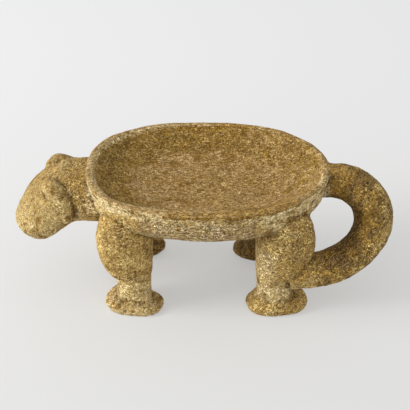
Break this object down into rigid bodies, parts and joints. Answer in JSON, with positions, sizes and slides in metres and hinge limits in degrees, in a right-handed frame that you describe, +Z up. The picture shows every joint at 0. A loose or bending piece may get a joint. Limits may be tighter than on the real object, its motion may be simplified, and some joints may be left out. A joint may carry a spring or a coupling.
{
  "type": "effigy metate",
  "caption": "Stone grinding dish in the form of a standing feline, with a raised rim, drooping head, short legs and a thick tail looped down to a rear leg.",
  "frame": {"origin": "on the table, under the middle of the overall length and width", "axes": "+X from the head to the tail, +Y to the animal's right side, +Z up"},
  "size_m": [0.3341, 0.15, 0.119],
  "materials": {
    "dish_stone": "matte",
    "stone": "matte",
    "tail_stone": "matte"
  },
  "bodies": {
    "root": {"grinding_dish": "dish_stone", "neck": "stone", "head": "stone", "left_ear": "stone", "right_ear": "stone", "front_left_leg": "stone", "front_right_leg": "stone", "rear_left_leg": "stone", "rear_right_leg": "stone", "tail": "tail_stone"}
  },
  "joints": []
}
